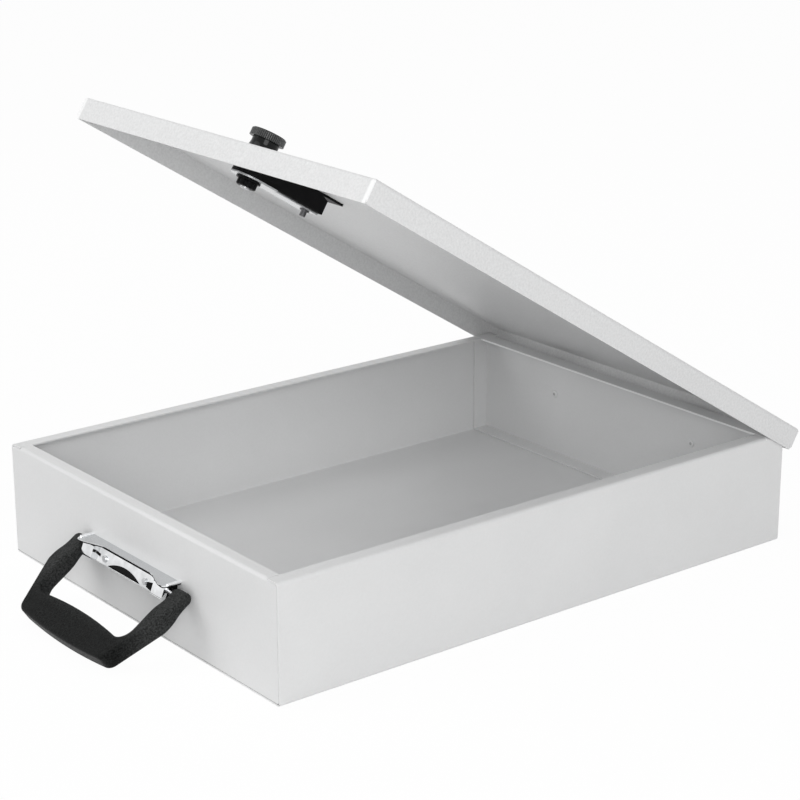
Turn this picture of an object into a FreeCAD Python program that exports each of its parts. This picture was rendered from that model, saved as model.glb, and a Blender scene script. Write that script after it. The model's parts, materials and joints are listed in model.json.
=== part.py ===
import FreeCAD, Part
import math
import os

import Sketcher
from FreeCAD import Placement, Rotation, Vector

# Lockable document case of folded sheet steel, lid open, handle resting on the table.
# X runs to the right, Y to the rear, Z up. The origin is the centre of the floor's underside.

# Driving dimensions in millimetres.
sizes = {
    # case body
    "case_width": 250.0,
    "case_depth": 340.0,
    "case_height": 63.0,
    "sheet": 1.0,
    "bend_radius": 2.0,
    "seam_gap": 0.15,
    "side_rim": 8.8,
    "front_rim": 7.4,
    "rear_rim": 11.0,
    "rear_inset": 2.0,
    "panel_corner": 1.4,
    # lid, in its closed place
    "lid_rise": 0.3,
    "lid_side_gap": 1.0,
    "lid_end_gap": 1.7,
    "lid_flange": 12.5,
    "lid_bend": 1.6,
    "lid_slit": 0.5,
    "lid_corner": 2.5,
    # hinges
    "hinge_offset": 58.4,
    "hinge_width": 34.0,
    "hinge_middle": 13.0,
    "hinge_clearance": 1.8,
    "hinge_sheet": 1.0,
    "hinge_pin_radius": 1.5,
    "hinge_pin_head": 0.9,
    "knuckle_gap": 0.4,
    "running_gap": 0.05,
    "lid_leaf_height": 11.5,
    "body_leaf_drop": 20.0,
    "leaf_crank_start": 3.0,
    "leaf_crank_run": 3.4,
    "leaf_corner": 3.0,
    # rivets
    "rivet_radius": 1.5,
    "rivet_head_radius": 2.3,
    "rivet_head_height": 0.7,
    "hinge_rivet_drop": 10.6,
    # handle bracket
    "handle_height": 31.75,
    "handle_standoff": 4.45,
    "handle_side_play": 1.45,
    "bracket_sheet": 0.95,
    "bracket_half": 38.7,
    "bracket_drop": 5.6,
    "apron_half": 27.0,
    "apron_drop": 9.0,
    "apron_corner": 2.0,
    "shelf_wing": 3.5,
    "shelf_depth": 10.0,
    "shelf_rise": 4.65,
    "shelf_recess": 4.7,
    "shelf_recess_half": 23.5,
    "shelf_recess_reach": 13.0,
    "shelf_sweep": 16.0,
    "shelf_corner": 2.5,
    "shelf_rim": 1.0,
    "lip_depth": 8.0,
    "lip_lean": 3.2,
    "lip_drop": 4.1,
    "lip_round": 0.45,
    "lug_width": 10.0,
    "lug_depth": 10.2,
    "lug_lean": 3.0,
    "lug_drop": 3.9,
    "lug_round": 1.2,
    "boss_offset": 19.0,
    "boss_drop": 0.65,
    "boss_radius": 1.75,
    "boss_height": 1.1,
    "window_half": 15.5,
    "window_height": 3.3,
    "window_sill": 0.8,
    "bracket_rivet_offset": 22.0,
    "bracket_rivet_head": 2.8,
    # handle grip and pins
    "pin_radius": 1.9,
    "pin_seat": 6.5,
    "pin_bore": 8.7,
    "pin_end_gap": 1.5,
    "eye_radius": 3.4,
    "arm_gap": 3.35,
    "arm_width": 10.5,
    "arm_drop": 18.3,
    "grip_tuck": 1.45,
    "grip_bar": 12.5,
    "grip_bow_radius": 390.0,
    "finger_drop": 35.8,
    "finger_bow_radius": 283.0,
    "grip_thickness": 10.0,
    "arm_taper_start": 3.0,
    "arm_taper_length": 13.0,
    "arm_shoulder": 9.0,
    "grip_corner": 6.0,
    "finger_corner": 8.0,
    "grip_edge": 2.0,
    # lock, measured from the lid's top face on the knob's axis
    "lock_setback": 27.9,
    "collar_radius": 9.4,
    "collar_height": 1.8,
    "collar_bevel": 0.8,
    "knob_height": 13.0,
    "knob_gap": 0.3,
    "knob_rim_radius": 9.3,
    "knob_rim_height": 4.2,
    "knob_rim_bevel": 0.6,
    "knob_neck_radius": 7.2,
    "knob_flare_rise": 3.4,
    "knob_skirt_radius": 8.5,
    "knob_skirt_height": 0.8,
    "knob_dish_radius": 6.8,
    "knob_dish_depth": 0.6,
    "knurl_depth": 0.3,
    "knurl_half_width": 0.22,
    "spindle_radius": 3.0,
    "spindle_gap": 0.08,
    "spindle_seat": 4.5,
    "spindle_tip": 0.8,
    "housing_half": 10.0,
    "housing_sheet": 1.2,
    "housing_depth": 10.2,
    "housing_rear": 43.6,
    "housing_foot": 10.0,
    "housing_slope_run": 7.6,
    "housing_slope_drop": 2.6,
    "plate_sheet": 1.0,
    "plate_wide_reach": 12.0,
    "plate_narrow_half": 7.4,
    "plate_rear": 43.0,
    "bolt_drop": 0.6,
    "bolt_thickness": 2.0,
    "bolt_side_gap": 0.3,
    "bolt_tongue_half": 7.8,
    "bolt_tongue_bevel": 1.0,
    "bolt_rim_gap": 1.2,
    "bolt_rear": 30.0,
    "bolt_spindle_gap": 0.4,
    "crank_throw": 5.0,
    "crank_pin_radius": 1.5,
    "crank_slot_gap": 0.3,
    "crank_radius": 7.4,
    "crank_thickness": 2.4,
    "crank_bolt_gap": 0.4,
    "crank_hub_radius": 4.6,
    "crank_hub_gap": 0.3,
    "washer_radius": 6.6,
    "washer_thickness": 0.8,
    "washer_gap": 0.2,
    "nut_radius": 5.3,
    "nut_height": 3.4,
    "nut_bevel": 0.5,
    "nut_flute_radius": 1.0,
    "nut_flute_offset": 0.3,
    "stud_radius": 1.6,
    "stud_length": 3.6,
    "stud_flange_radius": 2.6,
    "stud_flange_height": 0.8,
    "stud_setback": 38.0,
    "stud_offset": 2.5,
    # every cut runs this far past the face it opens
    "overrun": 2.0,
}

# Angles in degrees, and counts.
lid_opening = 31.9
handle_swing = 56.0
crank_lead = 45.0
full_turn = 360.0
half_turn = 180.0
knurl_count = 54
nut_flute_count = 8
same_place = 0.0001
half_share = 0.5
rivet_bevel_share = 0.6
flare_middle_share = 0.25

doc = FreeCAD.newDocument("document_case")
sheet_cells = doc.addObject("Spreadsheet::Sheet", "sizes")


class Size:
    """A length with its value and the spreadsheet formula that gives it."""

    def __init__(self, value, formula):
        self.value = value
        self.formula = formula

    def __add__(self, other):
        return Size(self.value + other.value, f"({self.formula} + {other.formula})")

    def __sub__(self, other):
        return Size(self.value - other.value, f"({self.formula} - {other.formula})")

    def __neg__(self):
        return Size(-self.value, f"(-1 * {self.formula})")

    def __mul__(self, other):
        if isinstance(other, Size):
            return Size(self.value * other.value, f"({self.formula} * {other.formula})")
        return Size(self.value * other, f"({self.formula} * {other!r})")

    def __truediv__(self, other):
        return Size(self.value / other.value, f"({self.formula} / {other.formula})")


def write_sizes():
    cells = {}
    for row, (name, value) in enumerate(sizes.items(), start=1):
        sheet_cells.set(f"A{row}", name)
        sheet_cells.set(f"B{row}", str(value))
        sheet_cells.setAlias(f"B{row}", name)
        cells[name] = Size(value, f"sizes.{name}")
    doc.recompute()
    return cells


cell = write_sizes()
zero = Size(0.0, "0")
half_width = cell["case_width"] * half_share
front = -(cell["case_depth"] * half_share)
rear = cell["case_depth"] * half_share
height = cell["case_height"]
sheet = cell["sheet"]
overrun = cell["overrun"]


def add_body(label):
    body = doc.addObject("PartDesign::Body", label)
    body.Label = label
    return body


def origin_feature(body, role):
    return next(item for item in body.Origin.OriginFeatures if item.Role == role)


def add_sketch(body, plane, level):
    """A sketch on one of the body's planes, moved along that plane's axis to a level."""
    sketch = body.newObject("Sketcher::SketchObject", f"{body.Name}_sketch")
    sketch.AttachmentSupport = [(origin_feature(body, plane), "")]
    sketch.MapMode = "FlatFace"
    lift = -level if plane == "XZ_Plane" else level
    sketch.setExpression("AttachmentOffset.Base.z", lift.formula)
    return sketch


def bind(sketch, kind, place, size):
    number = sketch.addConstraint(Sketcher.Constraint(kind, *place, size.value))
    sketch.setExpression(f"Constraints[{number}]", size.formula)


def arc_between(start, end, radius, turn):
    """An arc from start to end, turning left or right, always drawn counterclockwise."""
    if turn == "right":
        start, end = end, start
    chord = end - start
    across = Vector(-chord.y, chord.x, 0)
    across.normalize()
    reach = math.sqrt(max(0, radius ** 2 - (chord.Length / 2) ** 2))
    centre = (start + end) / 2 + across * reach
    first = math.atan2(start.y - centre.y, start.x - centre.x)
    last = math.atan2(end.y - centre.y, end.x - centre.x)
    return Part.ArcOfCircle(Part.Circle(centre, Vector(0, 0, 1), radius), first, last)


def draw_outline(sketch, corners):
    """A closed outline. A corner is (x, y), or (x, y, radius, turn) where an arc leads to it."""
    base = sketch.GeometryCount
    ends = []
    for number, corner in enumerate(corners):
        before = corners[number - 1]
        start = Vector(before[0].value, before[1].value, 0)
        end = Vector(corner[0].value, corner[1].value, 0)
        if len(corner) == 2:
            sketch.addGeometry(Part.LineSegment(start, end))
            ends.append((1, 2))
        else:
            sketch.addGeometry(arc_between(start, end, corner[2].value, corner[3]))
            ends.append((1, 2) if corner[3] == "left" else (2, 1))
    for number, corner in enumerate(corners):
        edge = base + number
        follower = (number + 1) % len(corners)
        last = ends[number][1]
        first = ends[follower][0]
        sketch.addConstraint(Sketcher.Constraint("Coincident", edge, last, base + follower, first))
        bind(sketch, "DistanceX", (-1, 1, edge, last), corner[0])
        bind(sketch, "DistanceY", (-1, 1, edge, last), corner[1])
        if len(corner) == 4:
            bind_arc(sketch, edge, corners[number - 1], corner)


def bind_arc(sketch, edge, before, corner):
    """Fix an arc by its radius, or a half circle by its centre on the line between its ends."""
    across = abs(corner[0].value - before[0].value)
    along = abs(corner[1].value - before[1].value)
    if not near(math.hypot(across, along), 2 * corner[2].value):
        bind(sketch, "Radius", (edge,), corner[2])
    elif across > along:
        bind(sketch, "DistanceY", (-1, 1, edge, 3), corner[1])
    else:
        bind(sketch, "DistanceX", (-1, 1, edge, 3), corner[0])


def near(first, second):
    return abs(first - second) < same_place


def draw_circle(sketch, x, y, radius):
    centre = Vector(x.value, y.value, 0)
    edge = sketch.addGeometry(Part.Circle(centre, Vector(0, 0, 1), radius.value))
    bind(sketch, "DistanceX", (-1, 1, edge, 3), x)
    bind(sketch, "DistanceY", (-1, 1, edge, 3), y)
    bind(sketch, "Radius", (edge,), radius)


def extrude(body, kind, plane, level, length, outlines):
    """Pad or pocket outlines from a level, along the plane's positive axis, by a length."""
    before = body.Shape.Volume if body.Tip else 0
    sketch = add_sketch(body, plane, level)
    for outline in outlines:
        if isinstance(outline, list):
            draw_outline(sketch, outline)
        else:
            draw_circle(sketch, *outline)
    feature = body.newObject(f"PartDesign::{kind}", f"{body.Name}_{kind.lower()}")
    feature.Profile = sketch
    feature.setExpression("Length", length.formula)
    feature.Reversed = (plane == "XZ_Plane") == (kind == "Pad")
    doc.recompute()
    if kind == "Pocket" and not body.Shape.Volume < before:
        raise RuntimeError(f"a cut in {body.Label} removes nothing")
    return feature


def pad(body, plane, level, length, *outlines):
    return extrude(body, "Pad", plane, level, length, outlines)


def cut(body, plane, level, length, *outlines):
    return extrude(body, "Pocket", plane, level, length, outlines)


def rectangle(left, low, right, high):
    return [(left, low), (right, low), (right, high), (left, high)]


def revolve(body, outline):
    """Turn an outline of (radius, height) corners about the Z axis."""
    sketch = add_sketch(body, "XZ_Plane", zero)
    draw_outline(sketch, outline)
    feature = body.newObject("PartDesign::Revolution", f"{body.Name}_revolution")
    feature.Profile = sketch
    feature.ReferenceAxis = (sketch, ["V_Axis"])
    feature.Angle = full_turn
    doc.recompute()


def repeat_round_axis(body, feature, count):
    pattern = body.newObject("PartDesign::PolarPattern", f"{body.Name}_pattern")
    pattern.Originals = [feature]
    pattern.Axis = (origin_feature(body, "Z_Axis"), [""])
    pattern.Angle = full_turn
    pattern.Occurrences = count
    body.Tip = pattern
    doc.recompute()


def mirror_sideways(body, features):
    mirror = body.newObject("PartDesign::Mirrored", f"{body.Name}_mirror")
    mirror.Originals = features
    mirror.MirrorPlane = (origin_feature(body, "YZ_Plane"), [""])
    body.Tip = mirror
    doc.recompute()


def straight_edges(body, axis, places):
    """Names of the body's edges along an axis (0, 1 or 2) through places on the other two."""
    others = [number for number in range(3) if number != axis]
    names = []
    for number, edge in enumerate(body.Tip.Shape.Edges, start=1):
        if len(edge.Vertexes) != 2:
            continue
        start, end = edge.Vertexes[0].Point, edge.Vertexes[1].Point
        if not all(near(start[other], end[other]) for other in others):
            continue
        if any(all(near(start[o], at.value) for o, at in zip(others, place)) for place in places):
            names.append(f"Edge{number}")
    return names


def round_edges(body, radius, names, kind="Fillet"):
    feature = body.newObject(f"PartDesign::{kind}", f"{body.Name}_{kind.lower()}")
    feature.Base = (feature.BaseFeature, names)
    feature.setExpression("Radius" if kind == "Fillet" else "Size", radius.formula)
    doc.recompute()


def put(body, placement):
    body.Placement = placement
    parts.append(body)


def at(x, y, z):
    return Placement(Vector(x.value, y.value, z.value), Rotation())


parts = []

# Places that several pieces share.
lid_half = half_width + cell["lid_side_gap"] + sheet
lid_front = front - cell["lid_end_gap"] - sheet
lid_rear = rear + cell["lid_end_gap"] + sheet
lid_under = height + cell["lid_rise"]
lid_top = lid_under + sheet
lid_low = lid_top - cell["lid_flange"]
pin_bore = cell["hinge_pin_radius"] + cell["running_gap"]
knuckle = pin_bore + cell["hinge_sheet"]
hinge_y = lid_rear + knuckle
hinge_z = lid_low - cell["hinge_clearance"]
lock_y = lid_front + cell["lock_setback"]
handle_y = front - cell["handle_standoff"]
handle_z = cell["handle_height"]
rivet_hole = cell["rivet_radius"] + cell["running_gap"]
rear_face = rear - cell["rear_inset"]

hinge_axis = Vector(0, hinge_y.value, hinge_z.value)
handle_axis = Vector(0, handle_y.value, handle_z.value)
swing = Vector(-1, 0, 0)
lid_turn = Placement(Vector(0, 0, 0), Rotation(swing, lid_opening), hinge_axis)
handle_turn = Placement(Vector(0, 0, 0), Rotation(swing, handle_swing), handle_axis)
lock_place = lid_turn.multiply(at(zero, lock_y, lid_top))


# Case body

def make_wrapper():
    """One sheet bent to the floor, both side walls and their rims."""
    body = add_body("base_wrapper")
    inner = half_width - sheet
    rim = half_width - cell["side_rim"]
    under = height - sheet
    right = [(half_width, zero), (half_width, height), (rim, height), (rim, under),
             (inner, under), (inner, sheet)]
    left = [(-x, z) for x, z in reversed(right)]
    pad(body, "XZ_Plane", front, cell["case_depth"], right + left)
    outside = [(side, z) for side in (half_width, -half_width) for z in (zero, height)]
    inside = [(side, z) for side in (inner, -inner) for z in (sheet, under)]
    round_edges(body, cell["bend_radius"], straight_edges(body, 1, outside))
    round_edges(body, cell["bend_radius"] - sheet, straight_edges(body, 1, inside))
    put(body, Placement())


def make_end_panel(label, rim, face, turn, holes):
    """A pan between the side walls: plate, top rim, two weld tabs and a floor tab."""
    body = add_body(label)
    side = half_width - sheet - cell["seam_gap"]
    low = sheet + cell["seam_gap"]
    notch = height - sheet - cell["seam_gap"]
    rim_half = half_width - cell["side_rim"] - cell["seam_gap"]
    right = [(side, low), (side, notch), (rim_half, notch), (rim_half, height)]
    left = [(-x, z) for x, z in reversed(right)]
    pad(body, "XZ_Plane", face, rim, right + left)
    hollow = rectangle(sheet - side, low + sheet, side - sheet, height - sheet)
    cut(body, "XZ_Plane", face + sheet, rim, hollow)
    cut(body, "XZ_Plane", face - overrun, sheet + overrun * 2, *holes)
    corners = [(x, z) for x in (side, -side) for z in (low, notch)]
    round_edges(body, cell["panel_corner"], straight_edges(body, 1, corners))
    round_edges(body, cell["bend_radius"], straight_edges(body, 0, [(face, height)]))
    bend = [(face + sheet, height - sheet)]
    round_edges(body, cell["bend_radius"] - sheet, straight_edges(body, 0, bend))
    put(body, Placement(Vector(), Rotation(Vector(0, 0, 1), turn)))


def make_panels():
    offset = cell["bracket_rivet_offset"]
    front_holes = [(x, handle_z, rivet_hole) for x in (offset, -offset)]
    make_end_panel("front_panel", cell["front_rim"], front, 0.0, front_holes)
    offset = cell["hinge_offset"]
    rivet_z = hinge_z - cell["hinge_rivet_drop"]
    rear_holes = [(x, rivet_z, rivet_hole) for x in (offset, -offset)]
    make_end_panel("rear_panel", cell["rear_rim"], -rear_face, half_turn, rear_holes)


# Lid

def make_lid():
    """A pan that slips over the case, with open seams beside its side flanges."""
    body = add_body("lid_pan")
    outline = rectangle(-lid_half, lid_front, lid_half, lid_rear)
    pad(body, "XY_Plane", lid_low, cell["lid_flange"], outline)
    tops = [(y, lid_top) for y in (lid_front, lid_rear)]
    sides = [(x, lid_top) for x in (lid_half, -lid_half)]
    edges = straight_edges(body, 0, tops) + straight_edges(body, 1, sides)
    round_edges(body, cell["lid_bend"], edges)
    inner = lid_half - sheet
    inner_front = lid_front + sheet
    inner_rear = lid_rear - sheet
    hollow = rectangle(-inner, inner_front, inner, inner_rear)
    cut(body, "XY_Plane", lid_low - overrun, cell["lid_flange"] - sheet + overrun, hollow)
    tops = [(y, lid_under) for y in (inner_front, inner_rear)]
    sides = [(x, lid_under) for x in (inner, -inner)]
    edges = straight_edges(body, 0, tops) + straight_edges(body, 1, sides)
    round_edges(body, cell["lid_bend"] - sheet, edges)
    slit = inner - cell["lid_slit"]
    slits = []
    for x_low, x_high in ((slit, inner), (-inner, -slit)):
        slits.append(rectangle(x_low, lid_front - overrun, x_high, inner_front))
        slits.append(rectangle(x_low, inner_rear, x_high, lid_rear + overrun))
    deep = cell["lid_flange"] - cell["lid_bend"] + overrun
    cut(body, "XY_Plane", lid_low - overrun, deep, *slits)
    hole = cell["spindle_radius"] + cell["spindle_gap"]
    cut(body, "XY_Plane", lid_under - overrun, overrun * 3, (zero, lock_y, hole))
    round_flange_ends(body, inner)
    put(body, lid_turn)


def round_flange_ends(body, inner):
    """Round the lower corners at both ends of the two side flanges."""
    ends = [(y, lid_low) for y in (lid_front, lid_rear)]
    names = []
    for name in straight_edges(body, 0, ends):
        edge = body.Tip.Shape.getElement(name)
        if abs(edge.CenterOfMass.x) > inner.value:
            names.append(name)
    round_edges(body, cell["lid_corner"], names)


# Hinges, drawn about the pin's axis

def make_body_leaf(label, x):
    """Cranked leaf: flat on the rear panel, stepped out to the two outer knuckles."""
    body = add_body(label)
    half = cell["hinge_width"] * half_share
    middle = cell["hinge_middle"] * half_share
    leaf = cell["hinge_sheet"]
    wall = rear_face - hinge_y
    start = -cell["leaf_crank_start"]
    stop = start - cell["leaf_crank_run"]
    low = -cell["body_leaf_drop"]
    profile = [(wall, low), (wall + leaf, low), (wall + leaf, stop),
               (leaf - knuckle, start), (leaf - knuckle, zero), (-knuckle, zero),
               (-knuckle, start), (wall, stop)]
    pad(body, "YZ_Plane", -half, cell["hinge_width"], profile)
    pad(body, "YZ_Plane", -half, cell["hinge_width"], (zero, zero, knuckle))
    cut(body, "YZ_Plane", -half - overrun, cell["hinge_width"] + overrun * 2,
        (zero, zero, pin_bore))
    clear = knuckle + cell["knuckle_gap"]
    wide = middle + cell["knuckle_gap"]
    gap = rectangle(-clear, -clear, knuckle + overrun, clear)
    cut(body, "YZ_Plane", -wide, wide * 2, gap)
    hole = (zero, -cell["hinge_rivet_drop"], rivet_hole)
    cut(body, "XZ_Plane", wall - overrun, leaf + overrun * 2, hole)
    corners = [(x_end, low) for x_end in (half, -half)]
    round_edges(body, cell["leaf_corner"], straight_edges(body, 1, corners))
    put(body, at(x, hinge_y, hinge_z))


def make_lid_leaf(label, x):
    """Flat leaf on the lid's rear flange, with the middle knuckle."""
    body = add_body(label)
    half = cell["hinge_width"] * half_share
    middle = cell["hinge_middle"] * half_share
    high = cell["lid_leaf_height"]
    clear = knuckle + cell["knuckle_gap"]
    leaf = rectangle(-knuckle, zero, cell["hinge_sheet"] - knuckle, high)
    pad(body, "YZ_Plane", -half, cell["hinge_width"], leaf)
    pad(body, "YZ_Plane", -middle, cell["hinge_middle"], (zero, zero, knuckle))
    cut(body, "YZ_Plane", -half - overrun, cell["hinge_width"] + overrun * 2,
        (zero, zero, pin_bore))
    beside = rectangle(-clear, -overrun, clear, clear)
    for start in (-half - overrun, middle):
        cut(body, "YZ_Plane", start, half - middle + overrun, beside)
    corners = [(x_end, high) for x_end in (half, -half)]
    round_edges(body, cell["leaf_corner"], straight_edges(body, 1, corners))
    put(body, lid_turn.multiply(at(x, hinge_y, hinge_z)))


def make_pin(label, x):
    """Hinge pin with a button head at each end of the knuckles."""
    body = add_body(label)
    half = cell["hinge_width"] * half_share
    pad(body, "YZ_Plane", -half, cell["hinge_width"], (zero, zero, cell["hinge_pin_radius"]))
    head = cell["hinge_pin_head"]
    for start in (-half - head, half):
        pad(body, "YZ_Plane", start, head, (zero, zero, knuckle))
    put(body, at(x, hinge_y, hinge_z))


def make_rivets(label, offset, inner, outer, head, z):
    """Two rivets through a wall, each with a low head on both sides."""
    body = add_body(label)
    features = [pad(body, "XZ_Plane", inner, outer - inner, (offset, z, cell["rivet_radius"]))]
    rise = cell["rivet_head_height"]
    for start in (inner - rise, outer):
        features.append(pad(body, "XZ_Plane", start, rise, (offset, z, head)))
    mirror_sideways(body, features)
    rims = []
    for number, edge in enumerate(body.Tip.Shape.Edges, start=1):
        outside = near(edge.CenterOfMass.y, (inner - rise).value)
        outside = outside or near(edge.CenterOfMass.y, (outer + rise).value)
        if outside:
            rims.append(f"Edge{number}")
    round_edges(body, rise * rivet_bevel_share, rims, "Chamfer")
    put(body, Placement())


def make_hinges():
    for side, x in (("left", -cell["hinge_offset"]), ("right", cell["hinge_offset"])):
        make_body_leaf(f"hinge_body_leaf_{side}", x)
        make_lid_leaf(f"hinge_lid_leaf_{side}", x)
        make_pin(f"hinge_pin_{side}", x)
    inner = rear_face - sheet
    outer = rear_face + cell["hinge_sheet"]
    z = hinge_z - cell["hinge_rivet_drop"]
    make_rivets("hinge_rivets", cell["hinge_offset"], inner, outer, cell["rivet_head_radius"], z)


# Handle, drawn about its pins with the grip hanging straight down

def make_bracket():
    """Wall plate and apron, bowed shelf, leaning lip with window and bosses, and end lugs."""
    body = add_body("handle_bracket")
    skin = cell["bracket_sheet"]
    wall = cell["handle_standoff"]
    half = cell["bracket_half"]
    top = cell["shelf_rise"]
    under = top - skin
    lip = wall - cell["lip_depth"]
    lip_low = -cell["lip_drop"]
    lip_top = lip + cell["lip_lean"]
    plate_inner = wall - skin
    plate_low = -cell["bracket_drop"]
    profile = [(plate_inner, plate_low), (wall, plate_low), (wall, top), (lip_top, top),
               (lip_top, under), (lip, lip_low), (lip + skin, lip_low), (lip_top + skin, under),
               (plate_inner, under)]
    pad(body, "YZ_Plane", -half, half * 2, profile)
    apron = cell["apron_half"]
    apron_low = -cell["apron_drop"]
    pad(body, "XZ_Plane", plate_inner, skin, rectangle(-apron, apron_low, apron, plate_low))
    corners = [(x, apron_low) for x in (apron, -apron)]
    round_edges(body, cell["apron_corner"], straight_edges(body, 1, corners))
    lug = wall - cell["lug_depth"]
    lug_low = -cell["lug_drop"]
    block = [(wall, lug_low), (wall, under), (lug + cell["lug_lean"], under), (lug, lug_low)]
    for start in (-half, half - cell["lug_width"]):
        pad(body, "YZ_Plane", start, cell["lug_width"], block)
    round_edges(body, cell["lip_round"], straight_edges(body, 0, [(lip, lip_low)]))
    round_edges(body, cell["lug_round"], straight_edges(body, 0, [(lug, lug_low)]))
    add_shelf(body, under, half + cell["shelf_wing"], wall)
    cut_window(body, lip, lip_low)
    y = lip + cell["lip_lean"] * half_share
    for x in (cell["boss_offset"], -cell["boss_offset"]):
        pad(body, "XZ_Plane", y - cell["boss_height"], cell["boss_height"],
            (x, -cell["boss_drop"], cell["boss_radius"]))
    hole = (zero, zero, cell["pin_radius"] + cell["running_gap"])
    for start in (-half - overrun, half - cell["pin_bore"]):
        cut(body, "YZ_Plane", start, cell["pin_bore"] + overrun, hole)
    offset = cell["bracket_rivet_offset"]
    holes = [(x, zero, rivet_hole) for x in (offset, -offset)]
    cut(body, "XZ_Plane", plate_inner - overrun * half_share, skin + overrun, *holes)
    put(body, at(zero, handle_y, handle_z))


def add_shelf(body, under, wide, wall):
    """Shelf with a front edge that sweeps back in the middle, and a rounded rim at each end."""
    out = wall - cell["shelf_depth"]
    back = out + cell["shelf_recess"]
    near_x = cell["shelf_recess_half"]
    far_x = near_x + cell["shelf_recess_reach"]
    right = [(near_x, back), (far_x, out), (wide, out), (wide, wall)]
    left = [(-x, y) for x, y in reversed(right)]
    pad(body, "XY_Plane", under, cell["bracket_sheet"], right + left)
    bends = [(x * side, y) for x, y in ((near_x, back), (far_x, out)) for side in (1, -1)]
    corners = [(wide, out), (-wide, out)]
    round_edges(body, cell["shelf_sweep"], straight_edges(body, 2, bends))
    round_edges(body, cell["shelf_corner"], straight_edges(body, 2, corners))
    rim = cell["shelf_rim"]
    start = out + cell["shelf_corner"]
    for x in (wide - rim, rim - wide):
        pad(body, "XZ_Plane", start, wall - start, (x, under + rim, rim))


def cut_window(body, lip, lip_low):
    """Arched opening through the lip, above a narrow sill."""
    wide = cell["window_half"]
    arch = cell["window_height"]
    arch_radius = (wide * wide + arch * arch) / (arch * 2)
    sill = lip_low + cell["window_sill"]
    opening = [(wide, sill), (-wide, sill, arch_radius, "left")]
    through = overrun + cell["lip_lean"] + cell["bracket_sheet"]
    cut(body, "XZ_Plane", lip - overrun, through, opening)


arm_inner = cell["bracket_half"] + cell["arm_gap"]
arm_outer = arm_inner + cell["arm_width"]
pin_reach = arm_inner + cell["pin_seat"]
handle_place = handle_turn.multiply(at(cell["handle_side_play"], handle_y, handle_z))


def make_handle_pins():
    """A pin in each arm, with its inner end in the bracket's lug."""
    body = add_body("handle_pins")
    inner = cell["bracket_half"] - cell["pin_bore"] + cell["handle_side_play"] + cell["pin_end_gap"]
    pin = pad(body, "YZ_Plane", inner, pin_reach - inner, (zero, zero, cell["pin_radius"]))
    mirror_sideways(body, [pin])
    put(body, handle_place)


def make_grip():
    """D-shaped moulded grip: two arms with eyes, tapering out to a thick bowed bar."""
    body = add_body("handle_grip")
    top = cell["eye_radius"]
    arm_z = -cell["arm_drop"]
    base = arm_inner - cell["grip_tuck"]
    base_z = -(cell["finger_drop"] + cell["grip_bar"])
    finger_z = -cell["finger_drop"]
    outer = [(-arm_outer, top), (-arm_outer, arm_z), (-base, base_z),
             (base, base_z, cell["grip_bow_radius"], "left"), (arm_outer, arm_z), (arm_outer, top)]
    inner = [(arm_inner, top), (arm_inner, finger_z),
             (-arm_inner, finger_z, cell["finger_bow_radius"], "left"), (-arm_inner, top)]
    thick = cell["grip_thickness"]
    pad(body, "XZ_Plane", -(thick * half_share), thick, outer + inner)
    for x, z, radius in ((arm_outer, arm_z, cell["arm_shoulder"]),
                         (base, base_z, cell["grip_corner"]),
                         (arm_inner, finger_z, cell["finger_corner"])):
        round_edges(body, radius, straight_edges(body, 1, [(x, z), (-x, z)]))
    shape_faces(body, arm_outer + overrun)
    round_edges(body, cell["grip_edge"], face_outline(body))
    cut(body, "YZ_Plane", -pin_reach, pin_reach * 2, (zero, zero, cell["pin_radius"]))
    put(body, handle_place)


def shape_faces(body, reach):
    """Shape both faces of the arms: round eyes, then a double curve out to the bar."""
    face = cell["grip_thickness"] * half_share
    eye = cell["eye_radius"]
    high = eye + overrun
    away = face + overrun
    run = cell["arm_taper_length"]
    start = -cell["arm_taper_start"]
    stop = start - run
    rise = face - eye
    curve = (run * run + rise * rise) / (rise * 4)
    middle = (start + stop) * half_share
    step = (face + eye) * half_share
    for sign, first, second in ((1, "left", "right"), (-1, "right", "left")):
        profile = [(away * sign, high), (zero, high), (zero, eye),
                   (eye * sign, zero, eye, second), (eye * sign, start),
                   (step * sign, middle, curve, first), (face * sign, stop, curve, second),
                   (away * sign, stop)]
        cut(body, "YZ_Plane", -reach, reach * 2, profile)


def face_outline(body):
    """Names of the edges where the grip's front and back faces meet its sides."""
    shape = body.Tip.Shape
    names = []
    for number, edge in enumerate(shape.Edges, start=1):
        middle = edge.valueAt((edge.FirstParameter + edge.LastParameter) / 2)
        tilts = []
        for face in shape.ancestorsOfType(edge, Part.Face):
            u, v = face.Surface.parameter(middle)
            tilts.append(abs(face.normalAt(u, v).y))
        if min(tilts) < same_place and max(tilts) > half_share:
            names.append(f"Edge{number}")
    return names


def make_handle():
    make_bracket()
    make_handle_pins()
    make_grip()
    inner = front - cell["bracket_sheet"]
    make_rivets("handle_rivets", cell["bracket_rivet_offset"], inner, front + sheet,
                cell["bracket_rivet_head"], handle_z)


# Lock, drawn from the lid's top face on the knob's axis

lid_skin = -sheet
housing_low = lid_skin - cell["housing_depth"]
bolt_high = lid_skin - cell["housing_sheet"] - cell["bolt_drop"]
bolt_low = bolt_high - cell["bolt_thickness"]
crank_high = bolt_low - cell["crank_bolt_gap"]
crank_low = crank_high - cell["crank_thickness"]
plate_low = housing_low - cell["plate_sheet"]
washer_high = plate_low - cell["washer_gap"]
nut_high = washer_high - cell["washer_thickness"]
nut_low = nut_high - cell["nut_height"]
spindle = cell["spindle_radius"]
spindle_hole = spindle + cell["spindle_gap"]
knob_low = cell["collar_height"] + cell["knob_gap"]
pin_side_share = math.sin(math.radians(crank_lead))
pin_ahead_share = math.cos(math.radians(crank_lead))
pin_x = cell["crank_throw"] * pin_side_share
pin_y = cell["crank_throw"] * pin_ahead_share
bolt_travel = pin_y * 2


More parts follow.
